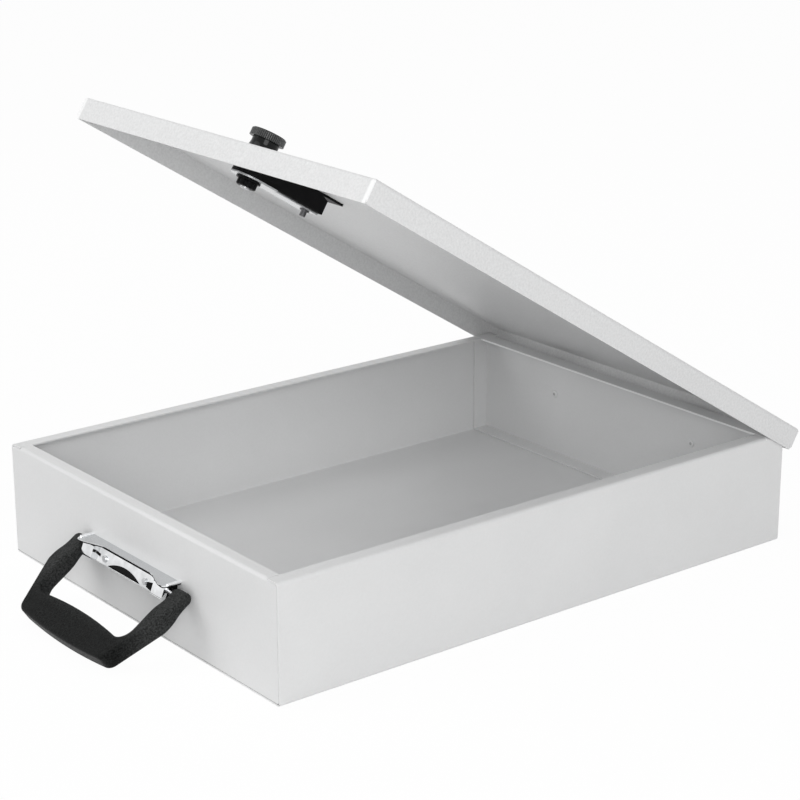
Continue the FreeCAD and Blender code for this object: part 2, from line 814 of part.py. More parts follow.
def make_collar():
    body = add_body("lock_collar")
    radius = cell["collar_radius"]
    high = cell["collar_height"]
    bevel = cell["collar_bevel"]
    revolve(body, [(spindle_hole, zero), (radius, zero), (radius, high - bevel),
                   (radius - bevel, high), (spindle_hole, high)])
    put(body, lock_place)


def make_knob():
    """Necked knob with a knurled rim, a dished top and a blind seat for the spindle."""
    body = add_body("lock_knob")
    top = cell["knob_height"]
    rim = cell["knob_rim_radius"]
    rim_low = top - cell["knob_rim_height"]
    bevel = cell["knob_rim_bevel"]
    neck = cell["knob_neck_radius"]
    skirt = cell["knob_skirt_radius"]
    skirt_top = knob_low + cell["knob_skirt_height"]
    flare = cell["knob_flare_rise"]
    middle = (neck + (skirt - neck) * flare_middle_share, skirt_top + flare * half_share)
    dish = cell["knob_dish_radius"]
    floor = top - cell["knob_dish_depth"]
    seat = knob_low + cell["spindle_seat"]
    revolve(body, [(zero, seat), (spindle, seat), (spindle, knob_low), (skirt, knob_low),
                   (skirt, skirt_top), middle, (neck, skirt_top + flare), (neck, rim_low),
                   (rim, rim_low), (rim, top - bevel), (rim - bevel, top), (dish, top),
                   (dish - cell["knob_dish_depth"], floor), (zero, floor)])
    depth = cell["knurl_depth"]
    wide = cell["knurl_half_width"] * (depth + overrun) / depth
    groove = [(zero, rim - depth), (wide, rim + overrun), (-wide, rim + overrun)]
    feature = cut(body, "XY_Plane", rim_low, cell["knob_rim_height"] - bevel, groove)
    repeat_round_axis(body, feature, knurl_count)
    put(body, lock_place)


def make_spindle():
    body = add_body("lock_spindle")
    low = nut_low - cell["spindle_tip"]
    seat = knob_low + cell["spindle_seat"]
    pad(body, "XY_Plane", low, seat - low, (zero, zero, spindle))
    put(body, lock_place)


def make_housing():
    """Cup under the lid: round front with the bolt's slot, a rear end with a slope, and a foot."""
    body = add_body("lock_housing")
    half = cell["housing_half"]
    skin = cell["housing_sheet"]
    end = cell["housing_rear"]
    slope = end - cell["housing_slope_run"]
    step = lid_skin - cell["housing_slope_drop"]
    outside = [(-half, housing_low), (end, housing_low), (end, step), (slope, lid_skin),
               (-half, lid_skin)]
    pad(body, "YZ_Plane", -half, half * 2, outside)
    far = half + overrun
    beside = [(far, zero), (far, -far), (-far, -far), (-far, zero), (-half, zero),
              (half, zero, half, "left")]
    below = housing_low - overrun
    cut(body, "XY_Plane", below, cell["housing_depth"] + overrun * 2, beside)
    web = lid_skin - skin
    inside = [(zero, below), (end - skin, below), (end - skin, step - skin), (slope - skin, web),
              (zero, web)]
    room = half - skin
    cut(body, "YZ_Plane", -room, room * 2, inside)
    cut(body, "XY_Plane", below, web - below, [(-room, zero), (room, zero, room, "left")])
    gap = cell["bolt_side_gap"]
    slot_half = cell["bolt_tongue_half"] + gap
    slot = rectangle(-slot_half, bolt_low - gap, slot_half, bolt_high + gap)
    cut(body, "XZ_Plane", -far, far, slot)
    foot = rectangle(-half, slope - skin, half, end + cell["housing_foot"])
    pad(body, "XY_Plane", web, skin, foot)
    cut(body, "XY_Plane", web - overrun * half_share, skin + overrun, (zero, zero, spindle_hole))
    put(body, lock_place)


def make_bottom_plate():
    """Plate that closes the channel, round about the spindle, narrower to the rear."""
    body = add_body("lock_bottom_plate")
    half = cell["housing_half"]
    wide = cell["plate_wide_reach"]
    slim = cell["plate_narrow_half"]
    back = cell["plate_rear"]
    outline = [(-half, zero), (half, zero, half, "left"), (half, wide), (slim, wide),
               (slim, back), (-slim, back), (-slim, wide), (-half, wide)]
    pad(body, "XY_Plane", plate_low, cell["plate_sheet"], outline, (zero, zero, spindle_hole))
    put(body, lock_place)


def make_bolt():
    """Flat bolt, drawn back, with a long slot for the spindle and a cross slot for the crank."""
    body = add_body("lock_bolt")
    half = cell["housing_half"] - cell["housing_sheet"] - cell["bolt_side_gap"]
    tongue = cell["bolt_tongue_half"]
    bevel = cell["bolt_tongue_bevel"]
    tip = front + cell["front_rim"] + cell["bolt_rim_gap"] - lock_y
    root = bolt_travel + cell["bolt_side_gap"]
    back = cell["bolt_rear"]
    right = [(tongue - bevel, tip), (tongue, tip + bevel), (tongue, root), (half, root),
             (half, back)]
    left = [(-x, y) for x, y in reversed(right)]
    pad(body, "XY_Plane", bolt_low, cell["bolt_thickness"], right + left)
    slot = spindle + cell["bolt_spindle_gap"]
    reach = bolt_travel
    long_slot = [(-slot, zero), (slot, zero, slot, "left"), (slot, reach),
                 (-slot, reach, slot, "left")]
    through = cell["bolt_thickness"] + overrun * 2
    cut(body, "XY_Plane", bolt_low - overrun, through, long_slot)
    wide = cell["crank_pin_radius"] + cell["crank_slot_gap"]
    far = cell["crank_throw"]
    cross_slot = [(far, pin_y - wide), (far, pin_y + wide, wide, "left"), (zero, pin_y + wide),
                  (zero, pin_y - wide)]
    cut(body, "XY_Plane", bolt_low - overrun, through, cross_slot)
    put(body, lock_place)


def make_crank():
    """Disc and hub on the spindle, with the pin that stands in the bolt's cross slot."""
    body = add_body("lock_crank")
    bore = (zero, zero, spindle)
    low = housing_low + cell["crank_hub_gap"]
    pad(body, "XY_Plane", crank_low, cell["crank_thickness"],
        (zero, zero, cell["crank_radius"]), bore)
    pad(body, "XY_Plane", low, crank_low - low, (zero, zero, cell["crank_hub_radius"]), bore)
    pad(body, "XY_Plane", crank_high, bolt_high - crank_high,
        (pin_x, pin_y, cell["crank_pin_radius"]))
    put(body, lock_place)


def make_washer():
    body = add_body("lock_washer")
    pad(body, "XY_Plane", nut_high, cell["washer_thickness"],
        (zero, zero, cell["washer_radius"]), (zero, zero, spindle))
    put(body, lock_place)


def make_nut():
    """Round nut with flutes down its side and a bevelled lower end."""
    body = add_body("lock_nut")
    rim = cell["nut_radius"]
    bevel = cell["nut_bevel"]
    revolve(body, [(spindle, nut_low), (rim - bevel, nut_low), (rim, nut_low + bevel),
                   (rim, nut_high), (spindle, nut_high)])
    flute = (zero, rim + cell["nut_flute_offset"], cell["nut_flute_radius"])
    feature = cut(body, "XY_Plane", nut_low - overrun, cell["nut_height"] + overrun, flute)
    repeat_round_axis(body, feature, nut_flute_count)
    put(body, lock_place)


def make_stud():
    body = add_body("lock_stud")
    x, y = cell["stud_offset"], cell["stud_setback"]
    for length, radius in ((cell["stud_length"], cell["stud_radius"]),
                           (cell["stud_flange_height"], cell["stud_flange_radius"])):
        pad(body, "XY_Plane", plate_low - length, length, (x, y, radius))
    put(body, lock_place)


def make_lock():
    make_collar()
    make_knob()
    make_spindle()
    make_housing()
    make_bottom_plate()
    make_bolt()
    make_crank()
    make_washer()
    make_nut()
    make_stud()


make_wrapper()
make_panels()
make_lid()
make_hinges()
make_handle()
make_lock()

failed = [item.Label for item in doc.Objects if {"Invalid", "Error"} & set(item.State)]
broken = [part.Label for part in parts if part.Shape.isNull() or not part.Shape.isValid()]
if failed or broken:
    raise RuntimeError(f"failed features {failed}, broken shapes {broken}")

os.makedirs("parts", exist_ok=True)
for part in parts:
    part.Shape.exportStep(f"parts/{part.Label}.step")
    box = part.Shape.BoundBox
    print(part.Label, len(part.Shape.Solids), round(part.Shape.Volume, 1),
          [round(v, 2) for v in (box.XMin, box.XMax, box.YMin, box.YMax, box.ZMin, box.ZMax)])
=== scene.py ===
import json
import math
import bmesh
import bpy
from mathutils import Matrix, Vector


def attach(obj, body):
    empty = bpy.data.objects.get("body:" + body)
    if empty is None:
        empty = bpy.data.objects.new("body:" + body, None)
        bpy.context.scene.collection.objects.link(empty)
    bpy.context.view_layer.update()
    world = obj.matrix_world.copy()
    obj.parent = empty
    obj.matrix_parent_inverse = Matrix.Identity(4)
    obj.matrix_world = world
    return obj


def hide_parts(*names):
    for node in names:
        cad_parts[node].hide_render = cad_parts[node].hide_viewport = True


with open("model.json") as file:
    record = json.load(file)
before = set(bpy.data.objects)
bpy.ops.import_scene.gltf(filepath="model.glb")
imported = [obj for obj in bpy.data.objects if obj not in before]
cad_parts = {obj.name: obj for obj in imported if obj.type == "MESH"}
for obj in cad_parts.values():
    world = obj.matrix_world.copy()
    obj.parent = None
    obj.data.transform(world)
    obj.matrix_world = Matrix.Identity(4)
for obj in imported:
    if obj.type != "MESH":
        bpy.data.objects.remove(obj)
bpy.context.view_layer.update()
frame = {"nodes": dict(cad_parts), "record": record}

scene = bpy.context.scene
scene.view_settings.view_transform = "Standard"
nodes = frame["nodes"]
behaviour = frame["record"]["behaviour"]
bodyOf = {node: body for body, members in behaviour["bodies"].items() for node in members}
joints = {joint["name"]: joint for joint in behaviour["joints"]}
slotOf = {part["node"]: part["material_slot"] for part in frame["record"]["subparts"]}
print("frame loaded with", len(nodes), "nodes")

# camera, solved from the case's corners in the photograph
shot = {
    "place": (0.9158, -0.7196, 0.4701),
    "azimuth": 51.8256,
    "elevation": 18.2952,
    "roll": -0.1349,
    "lens": 101.574,
    "sensor": 36.0,
    "clipStart": 0.01,
    "clipEnd": 60.0,
}


def makeCamera():
    data = bpy.data.cameras.new("shotCamera")
    data.lens = shot["lens"]
    data.sensor_width = shot["sensor"]
    data.clip_start, data.clip_end = shot["clipStart"], shot["clipEnd"]
    camera = bpy.data.objects.new("shotCamera", data)
    scene.collection.objects.link(camera)
    turn = Matrix.Rotation(math.radians(shot["azimuth"]), 4, "Z")
    tilt = Matrix.Rotation(math.radians(90.0 - shot["elevation"]), 4, "X")
    roll = Matrix.Rotation(math.radians(shot["roll"]), 4, "Z")
    camera.matrix_world = Matrix.Translation(shot["place"]) @ turn @ tilt @ roll
    scene.camera = camera


makeCamera()
print("camera set")

# studio: white sky, three broad soft lamps, pale floor
studio = {
    "skyLight": 0.345,
    "white": (1.0, 1.0, 1.0, 1.0),
    "lampAim": (0.0, 0.0, 0.05),
    "lamps": {
        "overheadLamp": {"place": (-0.35, -0.55, 1.75), "size": 1.6, "power": 9.5},
        "rightLamp": {"place": (1.6, -0.9, 0.9), "size": 1.2, "power": 17.5},
        "leftLamp": {"place": (-1.0, -1.5, 0.7), "size": 1.2, "power": 5.4},
    },
    "floorSize": 30.0,
    "floorColour": (0.97, 0.97, 0.97, 1.0),
    "floorWhite": 0.965,  # share of plain white that is seen over the shadow
}


def socketNode(tree, kind, **values):
    node = tree.nodes.new(kind)
    for name, value in values.items():
        if name in node.inputs:
            node.inputs[name].default_value = value
        else:
            setattr(node, name, value)
    return node


def mathStep(tree, kind, *values):  # a number is set on its socket, anything else is linked
    node = socketNode(tree, "ShaderNodeMath", operation=kind)
    for number, value in enumerate(values):
        if isinstance(value, float):
            node.inputs[number].default_value = value
        else:
            tree.links.new(value, node.inputs[number])
    return node.outputs[0]


def seenRays(tree):  # 1 for what the camera sees, straight or in gloss and glass
    path = tree.nodes.new("ShaderNodeLightPath")
    seen = path.outputs["Is Camera Ray"]
    for name in ("Is Glossy Ray", "Is Transmission Ray"):
        seen = mathStep(tree, "MAXIMUM", seen, path.outputs[name])
    return seen


def makeSky():
    world = bpy.data.worlds.new("studioSky")
    world.use_nodes = True
    scene.world = world
    tree = world.node_tree
    sky = tree.nodes["Background"]
    sky.inputs["Color"].default_value = studio["white"]
    level = tree.nodes.new("ShaderNodeMapRange")
    level.inputs["To Min"].default_value = studio["skyLight"]
    level.inputs["To Max"].default_value = 1.0
    tree.links.new(seenRays(tree), level.inputs["Value"])
    tree.links.new(level.outputs["Result"], sky.inputs["Strength"])


def makeLamps():
    for name, values in studio["lamps"].items():
        lampData = bpy.data.lights.new(name, "AREA")
        lampData.shape = "DISK"
        lampData.size = values["size"]
        lampData.energy = values["power"]
        lamp = bpy.data.objects.new(name, lampData)
        scene.collection.objects.link(lamp)
        lamp.location = values["place"]
        lamp.rotation_mode = "QUATERNION"
        aim = Vector(studio["lampAim"]) - Vector(values["place"])
        lamp.rotation_quaternion = aim.to_track_quat("-Z", "Y")


def floorFinish():
    material = bpy.data.materials.new("paleFloor")
    material.use_nodes = True
    tree = material.node_tree
    tree.nodes.clear()
    out = tree.nodes.new("ShaderNodeOutputMaterial")
    matt = socketNode(tree, "ShaderNodeBsdfDiffuse", Color=studio["floorColour"])
    white = socketNode(tree, "ShaderNodeEmission", Color=studio["white"], Strength=1.0)
    mix = tree.nodes.new("ShaderNodeMixShader")
    share = mathStep(tree, "MULTIPLY", seenRays(tree), studio["floorWhite"])
    tree.links.new(share, mix.inputs[0])
    tree.links.new(matt.outputs[0], mix.inputs[1])
    tree.links.new(white.outputs[0], mix.inputs[2])
    tree.links.new(mix.outputs[0], out.inputs["Surface"])
    return material


def makeFloor():
    bm = bmesh.new()
    bmesh.ops.create_grid(bm, x_segments=1, y_segments=1, size=studio["floorSize"] / 2)
    mesh = bpy.data.meshes.new("studioFloor")
    bm.to_mesh(mesh)
    bm.free()
    mesh.materials.append(floorFinish())
    floor = bpy.data.objects.new("studioFloor", mesh)
    scene.collection.objects.link(floor)


makeSky()
makeLamps()
makeFloor()
print("studio set")

# what all finishes are made with; places are object coordinates in metres
noiseSpan = (0.3, 0.7)  # noise values that fill a finish's whole range
mixSockets = {"first": 6, "second": 7, "result": 2}  # colour sockets of a mix node


def startFinish(name):
    material = bpy.data.materials.new(name)
    material.use_nodes = True
    tree = material.node_tree
    place = tree.nodes.new("ShaderNodeTexCoord").outputs["Object"]
    return material, tree, tree.nodes["Principled BSDF"], place


def grain(tree, place, scale, detail=2.0, rough=0.5, stretch=None):
    texture = socketNode(tree, "ShaderNodeTexNoise", Scale=scale, Detail=detail, Roughness=rough)
    if stretch:
        mapping = socketNode(tree, "ShaderNodeMapping", Scale=stretch)
        tree.links.new(place, mapping.inputs["Vector"])
        place = mapping.outputs["Vector"]
    tree.links.new(place, texture.inputs["Vector"])
    return texture.outputs["Fac"]


def addBump(tree, shader, height, strength, distance):
    bump = socketNode(tree, "ShaderNodeBump", Strength=strength, Distance=distance)
    tree.links.new(height, bump.inputs["Height"])
    tree.links.new(bump.outputs["Normal"], shader.inputs["Normal"])


def spread(tree, noise, span, socket):
    fit = tree.nodes.new("ShaderNodeMapRange")
    fit.inputs["From Min"].default_value, fit.inputs["From Max"].default_value = noiseSpan
    fit.inputs["To Min"].default_value, fit.inputs["To Max"].default_value = span
    tree.links.new(noise, fit.inputs["Value"])
    tree.links.new(fit.outputs["Result"], socket)


def blendColour(tree, noise, tones, socket):
    ramp = tree.nodes.new("ShaderNodeValToRGB")
    for stop, position, tone in zip(ramp.color_ramp.elements, noiseSpan, tones):
        stop.position = position
        stop.color = (*tone, 1.0)
    tree.links.new(noise, ramp.inputs["Fac"])
    tree.links.new(ramp.outputs["Color"], socket)


def mixInto(tree, share, socket):  # colour mix that ends in a socket; its two colours come back
    mix = socketNode(tree, "ShaderNodeMix", data_type="RGBA")
    tree.links.new(share, mix.inputs["Factor"])
    tree.links.new(mix.outputs[mixSockets["result"]], socket)
    return mix.inputs[mixSockets["first"]], mix.inputs[mixSockets["second"]]


def axesOf(tree, place):
    axes = tree.nodes.new("ShaderNodeSeparateXYZ")
    tree.links.new(place, axes.inputs[0])
    return axes.outputs


def bothOf(tree, first, second):
    return mathStep(tree, "MULTIPLY", first, second)


def rampShare(tree, value, start, full):
    ramp = tree.nodes.new("ShaderNodeMapRange")
    ramp.inputs["From Min"].default_value = start
    ramp.inputs["From Max"].default_value = full
    tree.links.new(value, ramp.inputs["Value"])
    return ramp.outputs["Result"]


def squareReach(tree, across, up):
    return mathStep(tree, "ADD", bothOf(tree, across, across), bothOf(tree, up, up))


def pairReach(tree, x, z, spot):  # squared distance from a spot that is there left and right
    across = mathStep(tree, "SUBTRACT", mathStep(tree, "ABSOLUTE", x), spot["x"])
    return squareReach(tree, across, mathStep(tree, "SUBTRACT", z, spot["z"]))


# one grey paint: smooth on the folded body, rougher on the lid
paints = {
    "casePaint": {"peelShare": 0.35, "dark": 0.728, "light": 0.772, "bump": 0.30},
    "lidPaint": {"peelShare": 0.85, "dark": 0.695, "light": 0.800, "bump": 0.60},
    "rivetPaint": {"peelShare": 0.35, "dark": 0.728, "light": 0.772, "bump": 0.30},
}
paintGrain = {
    "mottle": {"scale": 16.0, "detail": 3.0},
    "peel": {"scale": 780.0, "detail": 2.0, "rough": 0.55},
    "greenLift": 0.003,
    "blueLift": 0.005,
    "roughness": (0.34, 0.42),
    "bumpDepth": 0.00025,
}
# marks laid into the grey paint: painted shade in the seam at the foot of the front wall and in
# the middle of each hinge rivet's head, painted highlights along the rear rim's edge and on the
# folds at both ends of the lid's front flange
paintMarks = {
    "shade": (0.10, 0.10, 0.10, 1.0),
    "dent": (0.44, 0.44, 0.44, 1.0),
    "highlight": (0.930, 0.933, 0.935, 1.0),
    "rivet": {"x": 0.0584, "z": 0.0394, "reach": 0.0009},
    "seam": {"y": -0.1697, "z": 0.00107, "half": 0.00012},
    "rim": {"y": 0.1570, "half": 0.0004, "low": 0.0616},
    "fold": {"start": 0.1236, "full": 0.1248, "front": -0.3474},
}


def dimpleShadeShare(tree, place):  # 1 in the middle of a hinge rivet's head, where painted shade stands for a dimple
    axes = axesOf(tree, place)
    rivet = paintMarks["rivet"]
    reach = pairReach(tree, axes["X"], axes["Z"], rivet)
    return mathStep(tree, "LESS_THAN", reach, rivet["reach"] ** 2)


def seamShadeShare(tree, place):  # 1 along the open seam at the foot of the front wall, where painted shade stands for the shadow in the seam
    axes = axesOf(tree, place)
    seam = paintMarks["seam"]
    atFoot = mathStep(tree, "COMPARE", axes["Z"], seam["z"], seam["half"])
    return bothOf(tree, atFoot, mathStep(tree, "LESS_THAN", axes["Y"], seam["y"]))


def rimHighlightShare(tree, place):  # 1 along the edge of the rear rim, where a painted highlight stands for the light its fold catches
    axes = axesOf(tree, place)
    rim = paintMarks["rim"]
    atEdge = mathStep(tree, "COMPARE", axes["Y"], rim["y"], rim["half"])
    return bothOf(tree, atEdge, mathStep(tree, "GREATER_THAN", axes["Z"], rim["low"]))


def foldHighlightShare(tree, place):  # 1 on the folds at both ends of the lid's front flange, where a painted highlight stands for the light on the bends
    x, y, z = axesOf(tree, place)
    fold = paintMarks["fold"]
    hingeY, hingeZ = joints["lid_hinge"]["pos_m"][1:]
    opened = math.radians(joints["lid_hinge"]["range_deg"][0])
    back = mathStep(tree, "SUBTRACT", y, hingeY)
    up = mathStep(tree, "SUBTRACT", z, hingeZ)
    level = mathStep(tree, "MULTIPLY", back, math.cos(opened))
    depth = mathStep(tree, "MULTIPLY_ADD", up, math.sin(opened), level)  # as on the shut lid
    atEnd = rampShare(tree, mathStep(tree, "ABSOLUTE", x), fold["start"], fold["full"])
    return bothOf(tree, atEnd, mathStep(tree, "LESS_THAN", depth, fold["front"]))


def greyPaint(name, marks):
    values = paints[name]
    material, tree, shader, place = startFinish(name)
    mottle = grain(tree, place, **paintGrain["mottle"])
    peel = grain(tree, place, **paintGrain["peel"])
    slow = mathStep(tree, "MULTIPLY", mottle, 1.0 - values["peelShare"])
    mixed = mathStep(tree, "MULTIPLY_ADD", peel, values["peelShare"], slow)
    colour = shader.inputs["Base Color"]
    for markShare, markTone in marks:
        colour, marked = mixInto(tree, markShare(tree, place), colour)
        marked.default_value = paintMarks[markTone]
    lift = (0.0, paintGrain["greenLift"], paintGrain["blueLift"])
    tones = [[values[end] + more for more in lift] for end in ("dark", "light")]
    blendColour(tree, mixed, tones, colour)
    spread(tree, mottle, paintGrain["roughness"], shader.inputs["Roughness"])
    addBump(tree, shader, peel, values["bump"], paintGrain["bumpDepth"])
    return material


# moulded grip: dark bar; the arms are painted a little paler, a painted sheen for the light that
# falls on them
gripFinish = {
    "barY": -0.209,
    "armY": -0.197,
    "specular": 0.05,
    "grainScale": 1200.0,
    "cellScale": 1250.0,
    "cellSpread": 0.9,
    "bar": ((0.0005, 0.0006, 0.0006), (0.0155, 0.0165, 0.0163)),
    "arms": ((0.0090, 0.0094, 0.0093), (0.0500, 0.0520, 0.0515)),
    "roughness": (0.34, 0.50),
    "bump": (0.45, 0.0003),
}


def gripBlack():
    values = gripFinish
    material, tree, shader, place = startFinish("gripBlack")
    shader.inputs["Specular IOR Level"].default_value = values["specular"]
    cells = socketNode(tree, "ShaderNodeTexVoronoi", Scale=values["cellScale"],
                       Randomness=values["cellSpread"])
    tree.links.new(place, cells.inputs["Vector"])
    fine = grain(tree, place, values["grainScale"])
    # the arms get the paler tones: a painted sheen
    onArms = rampShare(tree, axesOf(tree, place)["Y"], values["barY"], values["armY"])
    barTone, armSheenTone = mixInto(tree, onArms, shader.inputs["Base Color"])
    blendColour(tree, fine, values["bar"], barTone)
    blendColour(tree, fine, values["arms"], armSheenTone)
    spread(tree, fine, values["roughness"], shader.inputs["Roughness"])
    addBump(tree, shader, cells.outputs["Distance"], *values["bump"])
    return material


# knurled knob: the crests of its rim are painted a little paler, a painted highlight on the knurl
knobFinish = {
    "crestRadius": 0.00915,
    "rimLow": 0.0085,
    "specular": 0.18,
    "grainScale": 1500.0,
    "body": ((0.0025, 0.003, 0.003), (0.006, 0.0065, 0.0065)),
    "crests": ((0.040, 0.041, 0.041), (0.105, 0.107, 0.107)),
    "roughness": (0.12, 0.20),
    "bump": (0.08, 0.0001),
}


# 1 on the crests of the knob's rim, where the painted highlight goes
def crestSheenShare(tree, place):
    turn = joints["knob_turn"]
    upright = (-Vector(turn["axis"])).to_track_quat("Z", "Y").to_euler()
    centred = socketNode(tree, "ShaderNodeMapping", vector_type="TEXTURE",
                         Location=turn["pos_m"], Rotation=upright)
    tree.links.new(place, centred.inputs["Vector"])
    x, y, z = axesOf(tree, centred.outputs["Vector"])
    outer = mathStep(tree, "GREATER_THAN", squareReach(tree, x, y), knobFinish["crestRadius"] ** 2)
    return bothOf(tree, outer, mathStep(tree, "GREATER_THAN", z, knobFinish["rimLow"]))


def knobBlack():
    values = knobFinish
    material, tree, shader, place = startFinish("knobBlack")
    shader.inputs["Specular IOR Level"].default_value = values["specular"]
    fine = grain(tree, place, values["grainScale"])
    bodyTone, crestSheenTone = mixInto(tree, crestSheenShare(tree, place), shader.inputs["Base Color"])
    blendColour(tree, fine, values["body"], bodyTone)
    blendColour(tree, fine, values["crests"], crestSheenTone)
    spread(tree, fine, values["roughness"], shader.inputs["Roughness"])
    addBump(tree, shader, fine, *values["bump"])
    return material


# black coat of the lock's housing, washer and nut
lockFinish = {
    "specular": 0.10,
    "grain": {"scale": 1100.0, "detail": 3.0},
    "tones": ((0.0025, 0.0025, 0.003), (0.005, 0.005, 0.0055)),
    "roughness": (0.40, 0.55),
    "bump": (0.10, 0.0001),
}


def lockBlack():
    values = lockFinish
    material, tree, shader, place = startFinish("lockBlack")
    shader.inputs["Specular IOR Level"].default_value = values["specular"]
    fine = grain(tree, place, **values["grain"])
    blendColour(tree, fine, values["tones"], shader.inputs["Base Color"])
    spread(tree, fine, values["roughness"], shader.inputs["Roughness"])
    addBump(tree, shader, fine, *values["bump"])
    return material


# chromed bracket: painted shade in the hollow behind its lip, on the gap line under the shelf and
# on the dark places beside the two bosses, which stand for openings that are not modelled;
# a rougher shelf top painted darker as a painted reflection of the grey wall, painted highlights
# on the rolled ends, and duller bosses
chromeFinish = {
    "lip": {
        "slope": 0.4103,
        "offset": -0.1893435,
        "behind": 0.00035,
        "wall": -0.1700,
        "top": 0.03541,
    },
    # painted shade along the gap under the shelf
    "gapLine": {"z": 0.03552, "half": 0.00055},
    "shelfTop": {"z": 0.03640, "half": 0.00006},
    "rimX": 0.0402,
    # painted shade on the two dark places beside the bosses, openings that are not modelled
    "slot": {"x": -0.02615, "half": 0.00245, "fall": 0.115, "level": 0.0287, "halfHeight": 0.0007},
    "wedge": {"x": 0.02475, "half": 0.00385, "z": 0.0303, "flare": 0.16, "start": -0.0021},
    "boss": {"x": 0.0190, "z": 0.0311, "reach": 0.0019},
    "specular": 0.02,
    "waveScale": 130.0,
    "hazeScale": 1400.0,
    # tones of the painted shade
    "hollow": ((0.004, 0.004, 0.004), (0.010, 0.010, 0.010)),
    # painted highlight on the rolled ends
    "ends": ((0.93, 0.94, 0.95), (0.97, 0.98, 0.99)),
    # the shelf's top painted darker, a painted reflection of the grey wall
    "top": ((0.56, 0.57, 0.58), (0.68, 0.69, 0.70)),
    "plain": ((0.60, 0.61, 0.62), (0.86, 0.87, 0.88)),
    "roughness": (0.05, 0.09),
    "dullShelf": 0.16,  # roughness that the shelf's top and ends add
    "dullBoss": 0.40,  # roughness that the bosses add
    "bump": (0.22, 0.0006),
}


def hollowShadeShare(tree, x, y, z):  # 1 where the painted shade goes: behind the lip, on the gap line and in the dark places
    lip, gapLine = chromeFinish["lip"], chromeFinish["gapLine"]
    lipLine = mathStep(tree, "MULTIPLY_ADD", z, lip["slope"], lip["offset"])
    pastLip = mathStep(tree, "SUBTRACT", y, lipLine)
    behind = mathStep(tree, "GREATER_THAN", pastLip, lip["behind"])
    dark = bothOf(tree, behind, mathStep(tree, "LESS_THAN", z, lip["top"]))
    onGapShade = mathStep(tree, "COMPARE", z, gapLine["z"], gapLine["half"])
    for share in (onGapShade, slotShadeShare(tree, x, z), wedgeShadeShare(tree, x, z)):
        dark = mathStep(tree, "MAXIMUM", dark, share)
    return bothOf(tree, dark, mathStep(tree, "LESS_THAN", y, lip["wall"]))


# painted shade for the dark slot left of the left boss, an opening that is not modelled
def slotShadeShare(tree, x, z):
    slot = chromeFinish["slot"]
    rise = mathStep(tree, "MULTIPLY_ADD", x, slot["fall"], z)
    inHeight = mathStep(tree, "COMPARE", rise, slot["level"], slot["halfHeight"])
    return bothOf(tree, inHeight, mathStep(tree, "COMPARE", x, slot["x"], slot["half"]))


# painted shade for the dark wedge right of the right boss, an opening that is not modelled
def wedgeShadeShare(tree, x, z):
    wedge = chromeFinish["wedge"]
    offMiddle = mathStep(tree, "ABSOLUTE", mathStep(tree, "SUBTRACT", z, wedge["z"]))
    halfHeight = mathStep(tree, "MULTIPLY_ADD", x, wedge["flare"], wedge["start"])
    inHeight = mathStep(tree, "LESS_THAN", offMiddle, halfHeight)
    return bothOf(tree, inHeight, mathStep(tree, "COMPARE", x, wedge["x"], wedge["half"]))


def brightChrome():
    values = chromeFinish
    material, tree, shader, place = startFinish("brightChrome")
    shader.inputs["Specular IOR Level"].default_value = values["specular"]
    waves = grain(tree, place, values["waveScale"])
    haze = grain(tree, place, values["hazeScale"])
    x, y, z = axesOf(tree, place)
    hollow = hollowShadeShare(tree, x, y, z)
    # the shelf's top: rougher, and painted darker as a painted reflection of the grey wall
    top = mathStep(tree, "COMPARE", z, values["shelfTop"]["z"], values["shelfTop"]["half"])
    # the rolled ends: painted highlight
    ends = mathStep(tree, "GREATER_THAN", mathStep(tree, "ABSOLUTE", x), values["rimX"])
    bossReach = pairReach(tree, x, z, values["boss"])
    bosses = mathStep(tree, "LESS_THAN", bossReach, values["boss"]["reach"] ** 2)
    # the painted shade is dark and not metal
    tree.links.new(mathStep(tree, "SUBTRACT", 1.0, hollow), shader.inputs["Metallic"])
    litTone, hollowShadeTone = mixInto(tree, hollow, shader.inputs["Base Color"])
    innerTone, endHighlightTone = mixInto(tree, ends, litTone)
    plainTone, shelfReflectionTone = mixInto(tree, top, innerTone)
    blendColour(tree, haze, values["hollow"], hollowShadeTone)
    blendColour(tree, haze, values["ends"], endHighlightTone)
    blendColour(tree, haze, values["top"], shelfReflectionTone)
    blendColour(tree, waves, values["plain"], plainTone)
    shelf = mathStep(tree, "MAXIMUM", top, ends)
    extra = mathStep(tree, "MULTIPLY", shelf, values["dullShelf"])
    extra = mathStep(tree, "MULTIPLY_ADD", bosses, values["dullBoss"], extra)
    rough = socketNode(tree, "ShaderNodeMath", operation="ADD")
    tree.links.new(extra, rough.inputs[0])
    spread(tree, haze, values["roughness"], rough.inputs[1])
    tree.links.new(rough.outputs[0], shader.inputs["Roughness"])
    addBump(tree, shader, waves, *values["bump"])
    return material


# plain metals with fine lines along the piece
metals = {
    "zincPlate": {
        "tones": ((0.52, 0.53, 0.54), (0.66, 0.67, 0.68)),
        "scale": 60.0,
        "stretch": (30.0, 1.0, 1.0),
        "roughness": (0.20, 0.34),
    },
    "plainSteel": {
        "tones": ((0.40, 0.40, 0.41), (0.54, 0.54, 0.55)),
        "scale": 80.0,
        "stretch": (20.0, 1.0, 1.0),
        "roughness": (0.26, 0.40),
    },
    "darkSteel": {
        "tones": ((0.09, 0.09, 0.095), (0.14, 0.14, 0.145)),
        "scale": 80.0,
        "stretch": (20.0, 1.0, 1.0),
        "roughness": (0.26, 0.40),
    },
}
metalGrain = {"detail": 4.0, "rough": 0.6, "bump": (0.08, 0.0001)}


